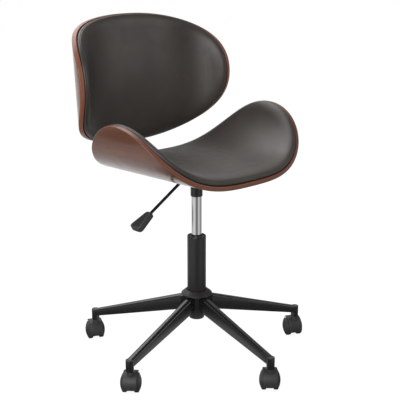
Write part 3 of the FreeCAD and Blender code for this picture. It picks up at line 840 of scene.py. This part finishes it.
def spreadFlat(bm, form, profile, crown=0.0):
    # Gives each point its flat place: the side's rings follow the profile's
    # (inset, height) pairs, and both faces run on inwards from its two ends.
    last = len(profile) - 1
    for vert in bm.verts:
        radius = min(1.0, vert.co.xy.length)
        rim = rimPoint(form, math.atan2(vert.co.y, vert.co.x))
        ring = round(vert.co.z * last)
        within, height = profile[ring]
        if ring in (0, last):
            middleShare = 1 - radius
            within += middleShare * (rim.length - within)
            if ring == last:  # the crown starts level, where the roll ends
                height += crown * middleShare**2 * (3 - 2 * middleShare)
        spot = rim * (1 - within / rim.length)
        vert.co = (spot.x, spot.y + form["shift"], height)


def keepFlatPlaces(bm):
    # The flat place goes into a UV map, in metres, and the height into an attribute.
    flat = bm.loops.layers.uv.new("flat")
    heights = bm.verts.layers.float.new("plyHeight")
    for vert in bm.verts:
        vert[heights] = vert.co.z
    for face in bm.faces:
        for loop in face.loops:
            loop[flat].uv = loop.vert.co.xy * mm


shellValues = {
    "cuts": 76,
    "thickness": 12.0,
    "edgeRound": 2.4,
    "edgeSteps": 4,
    "flatRim": 3.6,
    "sharp": 60.0,
}


def makeShell(name, node, form, edge):
    thickness, rounding = shellValues["thickness"], shellValues["edgeRound"]
    corners = [
        (shellValues["flatRim"], 0, 0),
        (0, 0, rounding),
        (0, thickness, rounding),
        (shellValues["flatRim"], thickness, 0),
    ]
    profile = softCorners(corners, shellValues["edgeSteps"])
    bm = discLayout(shellValues["cuts"], len(profile) - 2)
    spreadFlat(bm, form, profile)
    keepFlatPlaces(bm)
    for face in bm.faces:
        middle = face.calc_center_median().z
        onEdge = rounding / 4 < middle < thickness - rounding / 4
        face.material_index = 1 if onEdge else 0
    bendBoard(bm, form)
    finishPiece(name, bm, [node], ["walnut_ply", edge], shellValues["sharp"])


makeShell("walnutSeat", "seat_shell", seatForm, "plyEdge")
# The back board's edge takes the paler copy, a painted highlight.
makeShell("walnutBack", "back_shell", backForm, "paintedLitPlyEdge")
print("bent boards ready")


# Pads

padValues = {
    "cuts": 60,
    "recess": ((19.0, 16.7), (14.4, 16.7), (14.4, 12.5)),
    "tuck": 7.5,
    "foot": 12.5,
    "side": 1.5,
    "weltHeight": 18.3,
    "weltRadius": 2.5,
    "weltEnd": 78.0,
    "arcSteps": 4,
    "rollInset": 2.5,
    "rollFoot": 21.3,
    "rollTop": 31.0,
    "rollPower": 2.05,
    "rollSteps": 11,
    "crown": 4.0,
    "quality": 5,
    "pinnedAbove": 0.5,
    "pressure": 4.0,
    "frames": 20,
    "smoothings": 150,
    "mostMove": 2.0,
}


def padProfile(rollReach):
    # Out of the panel's recess, up the side to the welt, and over the rolled edge.
    values = padValues
    profile = list(values["recess"])
    out = values["tuck"] - values["side"]
    up = values["weltHeight"] - values["foot"]
    for step in range(values["arcSteps"]):
        angle = math.radians(90) * step / values["arcSteps"]
        profile.append(
            (values["tuck"] - out * math.sin(angle), values["foot"] + up * (1 - math.cos(angle)))
        )
    radius = values["weltRadius"]
    for step in range(values["arcSteps"] + 1):
        angle = math.radians(values["weltEnd"]) * step / values["arcSteps"]
        profile.append(
            (
                values["side"] + radius * (1 - math.cos(angle)),
                values["weltHeight"] + radius * math.sin(angle),
            )
        )
    groove = values["rollFoot"]
    reach = rollReach - values["rollInset"]
    rise = values["rollTop"] - groove
    for step in range(values["rollSteps"] + 1):
        angle = math.radians(90) * step / values["rollSteps"]
        inward = 1 - math.cos(angle) ** (2 / values["rollPower"])
        upward = math.sin(angle) ** (2 / values["rollPower"])
        profile.append((values["rollInset"] + reach * inward, groove + rise * upward))
    return profile


def puffUp(bm, name, pinnedBelow):
    # Cloth under pressure on the flat shape, whose underside and welt are pinned.
    mesh = bpy.data.meshes.new(name)
    bm.to_mesh(mesh)
    mesh.transform(Matrix.Scale(mm, 4))
    blank = newObject(name, mesh)
    pins = blank.vertex_groups.new(name="pins")
    pinned = [vert.index for vert in mesh.vertices if vert.co.z < pinnedBelow * mm]
    pins.add(pinned, 1.0, "REPLACE")
    fixed = set(pinned)
    cloth = blank.modifiers.new("cloth", "CLOTH")
    cloth.settings.quality = padValues["quality"]
    cloth.settings.vertex_group_mass = "pins"
    cloth.settings.use_pressure = True
    cloth.settings.uniform_pressure_force = padValues["pressure"]
    cloth.settings.effector_weights.gravity = 0
    cloth.point_cache.frame_start = 1
    cloth.point_cache.frame_end = padValues["frames"]
    for moment in range(1, padValues["frames"] + 1):
        scene.frame_set(moment)
    settled = blank.evaluated_get(bpy.context.evaluated_depsgraph_get()).to_mesh()
    bm.verts.ensure_lookup_table()
    moves = [Vector() for vert in bm.verts]
    free = []
    for vert, place in zip(bm.verts, settled.vertices):
        if vert.index in fixed:
            continue
        move = place.co / mm - vert.co
        if move.length > padValues["mostMove"]:
            move *= padValues["mostMove"] / move.length
        moves[vert.index] = move
        free.append((vert.index, [edge.other_vert(vert).index for edge in vert.link_edges]))
    for smoothing in range(padValues["smoothings"]):
        # Tight leather: each point moves as its neighbours do, so no wrinkle is left.
        smoothed = [
            sum((moves[near] for near in nears), Vector()) / len(nears) for index, nears in free
        ]
        for (index, nears), move in zip(free, smoothed):
            moves[index] = (moves[index] + move) / 2
    for vert, move in zip(bm.verts, moves):
        vert.co += move
    bpy.data.objects.remove(blank)
    bpy.data.meshes.remove(mesh)
    scene.frame_set(1)


def makePad(name, node, form, rollReach):
    profile = padProfile(rollReach)
    bm = discLayout(padValues["cuts"], len(profile) - 2)
    spreadFlat(bm, form, profile, padValues["crown"])
    puffUp(bm, name + "Blank", padValues["rollFoot"] + padValues["pinnedAbove"])
    print("cloth settled:", name)
    keepFlatPlaces(bm)
    bendBoard(bm, form)
    pad = finishPiece(name, bm, [node], ["leather"], sharp=180)
    smooth = pad.modifiers.new("smooth", "SUBSURF")
    smooth.levels = 1
    smooth.render_levels = 1


makePad("leatherSeatPad", "seat_pad", seatForm, 30.0)
makePad("leatherBackPad", "back_pad", backForm, 38.0)
print("pads ready")


# Base: legs, hub and collar

legValues = {
    "count": 5,
    "firstAngle": 49.0,
    "rootRadius": 15.0,
    "rootWidth": 11.0,
    "rootDepth": 46.6,
    "rootTop": 172.8,
    "shoulderRadius": 42.0,
    "width": 20.0,
    "tipRadius": 294.6,
    "tipDepth": 19.4,
    "tipTop": 91.6,
    "topCorner": 8.4,
    "footCorner": 4.4,
    "cornerSteps": 7,
    "socketRadius": 10.35,
    "socketFoot": 61.0,
    "socketBore": 5.7,
    "socketDepth": 26.2,
    "boreRound": 0.4,
    "footRound": 0.8,
    "lidRound": 1.2,
    "socketTurns": 40,
}


def makeLeg(number):
    # The section at the root, carried to the shoulder and to the tip, and then its socket.
    values = legValues
    bm = bmesh.new()
    bmesh.ops.create_grid(bm, x_segments=1, y_segments=1, size=0.5)
    size = (values["width"], values["rootDepth"], 1)
    bmesh.ops.scale(bm, vec=size, verts=bm.verts)
    upper = [vert for vert in bm.verts if vert.co.y > 0]
    lower = [vert for vert in bm.verts if vert.co.y < 0]
    roundVerts(bm, upper, values["topCorner"], values["cornerSteps"])
    roundVerts(bm, lower, values["footCorner"], values["cornerSteps"])
    root = bm.verts[:]
    ahead = bm.faces[:]
    middle = values["rootTop"] - values["rootDepth"] / 2
    rootMiddle, depth, radius = middle, values["rootDepth"], values["rootRadius"]
    for nextRadius in (values["shoulderRadius"], values["tipRadius"]):
        share = (nextRadius - values["rootRadius"]) / (values["tipRadius"] - values["rootRadius"])
        nextDepth = values["rootDepth"] + (values["tipDepth"] - values["rootDepth"]) * share
        nextTop = values["rootTop"] + (values["tipTop"] - values["rootTop"]) * share
        grown = bmesh.ops.extrude_face_region(bm, geom=ahead)["geom"]
        verts = ofKind(grown, bmesh.types.BMVert)
        ahead = ofKind(grown, bmesh.types.BMFace)
        space = Matrix.Translation((0, rootMiddle - middle, 0))
        bmesh.ops.scale(bm, vec=(1, nextDepth / depth, 1), verts=verts, space=space)
        nextMiddle = nextTop - nextDepth / 2
        bmesh.ops.translate(bm, vec=(0, nextMiddle - middle, nextRadius - radius), verts=verts)
        middle, depth, radius = nextMiddle, nextDepth, nextRadius
    bmesh.ops.scale(bm, vec=(values["rootWidth"] / values["width"], 1, 1), verts=root)
    moveShape(bm, layOnSide)
    moveShape(bm, Matrix.Translation((values["rootRadius"], 0, rootMiddle)))
    bmesh.ops.recalc_face_normals(bm, faces=bm.faces)
    top = values["tipTop"]
    boreTop = values["socketFoot"] + values["socketDepth"]
    socket = lathe(
        [
            (0, boreTop, 0),
            (values["socketBore"], boreTop, 0),
            (values["socketBore"], values["socketFoot"], values["boreRound"]),
            (values["socketRadius"], values["socketFoot"], values["footRound"]),
            (values["socketRadius"], top, values["lidRound"]),
            (0, top, 0),
        ],
        values["socketTurns"],
    )
    moveShape(socket, Matrix.Translation((values["tipRadius"], 0, 0)))
    leg = joined([bm, socket])
    angle = math.radians(values["firstAngle"] + number * 360 / values["count"])
    moveShape(leg, Matrix.Rotation(angle, 4, "Z"))
    finishPiece("baseLeg%d" % (number + 1), leg, ["leg_%d" % (number + 1)], ["black_steel"])


for legNumber in range(legValues["count"]):
    makeLeg(legNumber)

# Corners of turned pieces: radius, height, rounding
hubCorners = [
    (17.3, 172.0, 0),
    (17.3, 104.2, 0),
    (17.3, 100.7, 1.0),
    (20.5, 100.7, 2.6),
    (20.5, 172.0, 0.4),
]
collarCorners = [
    (18.3, 172.3, 0.2),
    (18.3, 173.7, 0.3),
    (22.5, 173.7, 2.0),
    (26.6, 182.4, 1.0),
    (29.0, 182.4, 1.1),
    (41.3, 172.0, 1.8),
    (41.3, 169.5, 0.6),
    (39.1, 169.5, 0.5),
    (39.1, 170.9, 0.5),
    (29.0, 179.2, 1.5),
    (24.7, 172.3, 0.8),
]
finishPiece("baseHub", lathe(hubCorners, closed=True), ["base_hub"], ["black_steel"])
finishPiece("baseCollar", lathe(collarCorners, closed=True), ["base_collar"], ["collarPlastic"])
print("base ready")


# Gas lift and the socket under the seat

tubeCorners = [
    (17.2, 104.2, 0.5),
    (18.0, 172.0, 0),
    (18.0, 174.0, 1.0),
    (25.0, 180.0, 2.0),
    (25.0, 333.0, 2.0),
    (22.6, 333.0, 0.9),
    (22.6, 300.0, 0),
    (22.6, 190.0, 0),
    (14.8, 178.0, 0),
    (14.8, 104.2, 0.5),
]
bushCorners = [
    (14.1, 259.4, 0.3),
    (22.5, 259.4, 0.3),
    (22.5, 331.2, 1.2),
    (14.1, 331.2, 1.0),
]
cylinderCorners = [
    (4.06, 478.6, 0.3),
    (4.06, 462.6, 0),
    (12.2, 462.6, 0),
    (12.2, 245.0, 0.4),
    (14.0, 245.0, 0.9),
    (14.0, 440.3, 0),
    (13.3, 478.6, 0.6),
]
coneCorners = [
    (14.05, 440.3, 0.4),
    (16.0, 440.3, 1.3),
    (16.0, 464.0, 6.0),
    (22.0, 479.0, 0.4),
    (13.4, 479.0, 0.3),
]
for liftName, liftCorners, liftTurns, liftSteps, liftNode, liftFinish in (
    ("liftTube", tubeCorners, 72, 5, "outer_tube", "tubePaint"),
    ("liftBush", bushCorners, 72, 3, "guide_bush", "bush_plastic"),
    ("liftCylinder", cylinderCorners, 72, 3, "gas_cylinder", "chrome"),
    ("seatCone", coneCorners, 64, 6, "cone_socket", "black_steel"),
):
    turned = lathe(liftCorners, liftTurns, liftSteps, closed=True)
    finishPiece(liftName, turned, [liftNode], [liftFinish])
print("gas lift ready")


# Release lever

leverValues = {
    "radius": 4.0,
    "height": 489.0,
    "innerEnd": 5.0,
    "flatEnd": -19.0,
    "flatShare": 0.5,
    "roundStart": -23.0,
    "bendX": -51.5,
    "bendRadius": 14.0,
    "bendSteps": 8,
    "droop": 31.5,
    "slope": 141.8,
    "segments": 28,
}


def pulledOn(bm, ring, way):
    # Extrudes a ring of edges along a way, and gives the new ring and its points.
    grown = bmesh.ops.extrude_edge_only(bm, edges=ring)["geom"]
    verts = ofKind(grown, bmesh.types.BMVert)
    bmesh.ops.translate(bm, vec=way, verts=verts)
    edges = ofKind(grown, bmesh.types.BMEdge)
    return [edge for edge in edges if all(end in verts for end in edge.verts)], verts


def makeLeverRod():
    values = leverValues
    bm = bmesh.new()
    bmesh.ops.create_circle(bm, segments=values["segments"], radius=values["radius"])
    moveShape(bm, layOnSide)
    moveShape(bm, Matrix.Translation((values["innerEnd"], 0, values["height"])))
    first = bm.verts[:]
    toFlatEnd = values["flatEnd"] - values["innerEnd"]
    ring, second = pulledOn(bm, bm.edges[:], (toFlatEnd, 0, 0))
    for vert in first + second:
        vert.co.z = values["height"] + (vert.co.z - values["height"]) * values["flatShare"]
    ring, third = pulledOn(bm, ring, (values["roundStart"] - values["flatEnd"], 0, 0))
    for vert in third:
        vert.co.z = values["height"] + (vert.co.z - values["height"]) / values["flatShare"]
    half = math.radians(values["droop"]) / 2
    bendStart = values["bendX"] + values["bendRadius"] * math.tan(half)
    ring, verts = pulledOn(bm, ring, (bendStart - values["roundStart"], 0, 0))
    bent = bmesh.ops.spin(
        bm,
        geom=ring + verts,
        cent=(bendStart, 0, values["height"] - values["bendRadius"]),
        axis=(0, -1, 0),
        angle=2 * half,
        steps=values["bendSteps"],
        use_merge=False,
        use_duplicate=False,
    )["geom_last"]
    ring = ofKind(bent, bmesh.types.BMEdge)
    droop = Vector((-math.cos(2 * half), 0, -math.sin(2 * half)))
    pulledOn(bm, ring, droop * values["slope"])
    ends = [edge for edge in bm.edges if edge.is_boundary]
    bmesh.ops.holes_fill(bm, edges=ends, sides=0)
    bmesh.ops.recalc_face_normals(bm, faces=bm.faces)
    finishPiece("leverRod", bm, ["lever_rod"], ["black_steel"])
    bendEnd = Vector((values["bendX"], 0, values["height"])) + droop * (
        values["bendRadius"] * math.tan(half)
    )
    return bendEnd + droop * values["slope"], droop


knobValues = {
    "length": 60.0,
    "socket": 22.0,
    "rootWidth": 22.0,
    "endWidth": 42.0,
    "rootThickness": 12.0,
    "endThickness": 15.0,
    "rootCorner": 6.5,
    "endCorner": 11.0,
    "cornerSteps": 6,
    "edge": 2.2,
    "edgeSteps": 3,
    "border": 2.6,
    "recess": 0.7,
    "recessSlope": 0.9,
    "softFrom": 60.0,
    "sharp": 50.0,
}


def makeKnob(rodEnd, droop):
    values = knobValues
    bm = bmesh.new()
    bmesh.ops.create_grid(bm, x_segments=1, y_segments=1, size=0.5)
    bmesh.ops.translate(bm, vec=(0.5, 0, 0), verts=bm.verts)
    bmesh.ops.scale(bm, vec=(values["length"], 1, 1), verts=bm.verts)
    root = [vert for vert in bm.verts if vert.co.x < 1]
    end = [vert for vert in bm.verts if vert.co.x > 1]
    bmesh.ops.scale(bm, vec=(1, values["rootWidth"], 1), verts=root)
    bmesh.ops.scale(bm, vec=(1, values["endWidth"], 1), verts=end)
    roundVerts(bm, root, values["rootCorner"], values["cornerSteps"])
    roundVerts(bm, end, values["endCorner"], values["cornerSteps"])
    bmesh.ops.translate(bm, vec=(0, 0, -0.5), verts=bm.verts)
    lid = bmesh.ops.extrude_face_region(bm, geom=bm.faces[:])
    raised = ofKind(lid["geom"], bmesh.types.BMVert)
    bmesh.ops.translate(bm, vec=(0, 0, 1), verts=raised)
    grow = values["endThickness"] - values["rootThickness"]
    for vert in bm.verts:
        vert.co.z *= values["rootThickness"] + grow * vert.co.x / values["length"]
    bmesh.ops.recalc_face_normals(bm, faces=bm.faces)
    softenEdges(bm, values["edge"], values["edgeSteps"], values["softFrom"])
    broad = sorted(bm.faces, key=lambda face: face.calc_area())[-2:]
    bmesh.ops.inset_individual(bm, faces=broad, thickness=values["border"], depth=0)
    bmesh.ops.inset_individual(
        bm, faces=broad, thickness=values["recessSlope"], depth=-values["recess"]
    )
    start = rodEnd - droop * values["socket"]
    side = Vector((0, 1, 0))
    top = droop.cross(side)
    turn = Matrix((droop, side, top)).transposed().to_4x4()
    moveShape(bm, Matrix.Translation(start) @ turn)
    finishPiece("leverKnob", bm, ["lever_knob"], ["black_plastic"], values["sharp"])


knobPlace = makeLeverRod()
makeKnob(*knobPlace)
print("lever ready")


# Casters, drawn with the stem upright at the origin and the wheels trailing towards +Y

casterValues = {
    "headings": (-36.0, -24.0, -47.0, -43.5, -27.0),
    "trail": 12.7,
    "axleHeight": 25.0,
    "hoodInner": 27.4,
    "hoodOuter": 30.6,
    "hoodWidth": 37.0,
    "hoodRound": 3.0,
    "hoodStart": 55.0,
    "hoodEnd": 198.0,
    "webWidth": 17.0,
    "webHub": 8.0,
    "bossRadius": 8.0,
    "bossTop": 60.7,
    "bossFoot": 44.0,
    "bossBore": 5.5,
    "bossFloor": 1.0,
    "bossRound": 0.8,
    "bossTurns": 40,
    "axleBore": 3.0,
    "lipRound": 0.1,
    "hubRound": 0.6,
    "hubTurns": 32,
    "sweepTurns": 36,
    "sweepSteps": 5,
    "endSoft": 0.5,
    "endSteps": 2,
    "softFrom": 70.0,
}
wheelValues = {
    "radius": 25.0,
    "face": 9.8,
    "tread": 10.5,
    "edgeRound": 1.8,
    "dome": 6.5,
    "domeSteps": 12,
    "groove": 0.7,
    "bore": 3.06,
    "boreEnd": 23.6,
    "capRadius": 9.0,
    "grooveRound": 0.1,
    "sideRound": 0.2,
    "turns": 56,
    "arcSteps": 3,
    "sharp": 45.0,
}


def ontoAxle(bm):
    moveShape(bm, layOnSide)
    axle = (0, casterValues["trail"], casterValues["axleHeight"])
    return moveShape(bm, Matrix.Translation(axle))


def standCaster(bm, number):
    angle = math.radians(legValues["firstAngle"] + number * 360 / legValues["count"])
    radius = legValues["tipRadius"]
    place = Matrix.Translation((radius * math.cos(angle), radius * math.sin(angle), 0))
    heading = math.radians(casterValues["headings"][number])
    return moveShape(bm, place @ Matrix.Rotation(heading, 4, "Z"))


def makeHood(number):
    # A swept shell, the web inside it, the web's hub on the axle, and the stem's boss.
    values = casterValues
    half = values["hoodWidth"] / 2
    sweep = values["hoodEnd"] - values["hoodStart"]
    start = Matrix.Rotation(math.radians(values["hoodStart"]), 4, "Z")
    shell = lathe(
        [
            (values["hoodInner"], -half, values["lipRound"]),
            (values["hoodOuter"], -half, values["hoodRound"]),
            (values["hoodOuter"], half, values["hoodRound"]),
            (values["hoodInner"], half, values["lipRound"]),
        ],
        values["sweepTurns"],
        values["sweepSteps"],
        closed=True,
        sweep=sweep,
    )
    softenEdges(shell, values["endSoft"], values["endSteps"], values["softFrom"])
    web = values["webWidth"] / 2

    def drum(radius, rounding, turns, **sector):
        corners = [
            (values["axleBore"], -web, 0),
            (radius, -web, rounding),
            (radius, web, rounding),
            (values["axleBore"], web, 0),
        ]
        return lathe(corners, turns, closed=True, **sector)

    between = (values["hoodInner"] + values["hoodOuter"]) / 2
    plate = drum(between, 0, values["sweepTurns"], sweep=sweep)
    core = drum(values["webHub"], values["hubRound"], values["hubTurns"])
    sector = joined([moveShape(shell, start), moveShape(plate, start), core])
    ontoAxle(sector)
    floor = values["bossFoot"] + values["bossFloor"]
    boss = lathe(
        [
            (0, values["bossFoot"], 0),
            (values["bossRadius"], values["bossFoot"], 0),
            (values["bossRadius"], values["bossTop"], values["bossRound"]),
            (values["bossBore"], values["bossTop"], 0),
            (values["bossBore"], floor, 0),
            (0, floor, 0),
        ],
        values["bossTurns"],
    )
    hood = standCaster(joined([sector, boss]), number)
    name = "caster_hood_%d" % (number + 1)
    finishPiece("casterHood%d" % (number + 1), hood, [name], ["black_plastic"])


def wheelCorners():
    # From the bore's end round the tread, over the domed face with its cap's groove.
    values = wheelValues
    rim = values["radius"]
    treadEnd = values["face"] + values["tread"]
    groove = values["groove"]
    corners = [
        (0, values["boreEnd"], 0),
        (values["bore"], values["boreEnd"], 0),
        (values["bore"], values["face"], 0),
        (rim, values["face"], values["edgeRound"]),
        (rim, treadEnd - groove, groove / 2),
        (rim - 2 * groove, treadEnd - groove, values["grooveRound"]),
        (rim - 2 * groove, treadEnd, values["sideRound"]),
    ]
    domeRim = rim - values["edgeRound"]
    ball = (domeRim ** 2 + values["dome"] ** 2) / (2 * values["dome"])
    for step in range(1, values["domeSteps"] + 1):
        radius = domeRim * (1 - step / values["domeSteps"])
        drop = ball - math.sqrt(ball ** 2 - radius ** 2)
        height = treadEnd + values["dome"] - drop
        if abs(radius - values["capRadius"]) < domeRim / values["domeSteps"] / 2:
            for out, dip in ((groove, 0), (0, groove / 2), (-groove, 0)):
                corners.append((radius + out, height - dip, values["grooveRound"]))
        else:
            corners.append((radius, height, 0))
    return corners


def makeWheel(number, side):
    values = wheelValues
    wheel = ontoAxle(lathe(wheelCorners(), values["turns"], values["arcSteps"]))
    if side == "left":
        bmesh.ops.scale(wheel, vec=(-1, 1, 1), verts=wheel.verts)
        bmesh.ops.reverse_faces(wheel, faces=wheel.faces)
    standCaster(wheel, number)
    node = "wheel_%d_%s" % (number + 1, side)
    name = "caster%dWheel%s" % (number + 1, side.capitalize())
    finishPiece(name, wheel, [node], ["wheel_nylon"], values["sharp"])


for casterNumber in range(legValues["count"]):
    makeHood(casterNumber)
    makeWheel(casterNumber, "left")
    makeWheel(casterNumber, "right")
print("casters ready")


# Pressed parts under the seat, whose edges are softened

pressedValues = {"merge": 0.005, "flatAngle": 0.5, "steps": 2}


def softCopy(name, node, width):
    # Joins a copy of the node's loose triangles, clears its flats and rounds its edges.
    bm = bmesh.new()
    bm.from_mesh(cadNodes[node].data)
    bmesh.ops.scale(bm, vec=(1 / mm, 1 / mm, 1 / mm), verts=bm.verts)
    bmesh.ops.remove_doubles(bm, verts=bm.verts, dist=pressedValues["merge"])
    bmesh.ops.dissolve_limit(
        bm,
        angle_limit=math.radians(pressedValues["flatAngle"]),
        use_dissolve_boundaries=False,
        verts=bm.verts,
        edges=bm.edges,
    )
    softenEdges(bm, width, pressedValues["steps"])
    finishPiece(name, bm, [node], [slotOfNode[node]])


for pressedName, pressedNode, pressedEdge in (
    ("mechanismBox", "mechanism_housing", 0.5),
    ("mountingPlate", "seat_plate", 0.6),
    ("backBar", "back_bracket", 0.8),
):
    softCopy(pressedName, pressedNode, pressedEdge)
print("pressed parts ready")


# Every CAD node that still shows takes its slot's finish

for nodeName, nodeObject in cadNodes.items():
    nodeObject.data.materials.clear()
    nodeObject.data.materials.append(finishes[slotOfNode[nodeName]])
print("nodes finished")
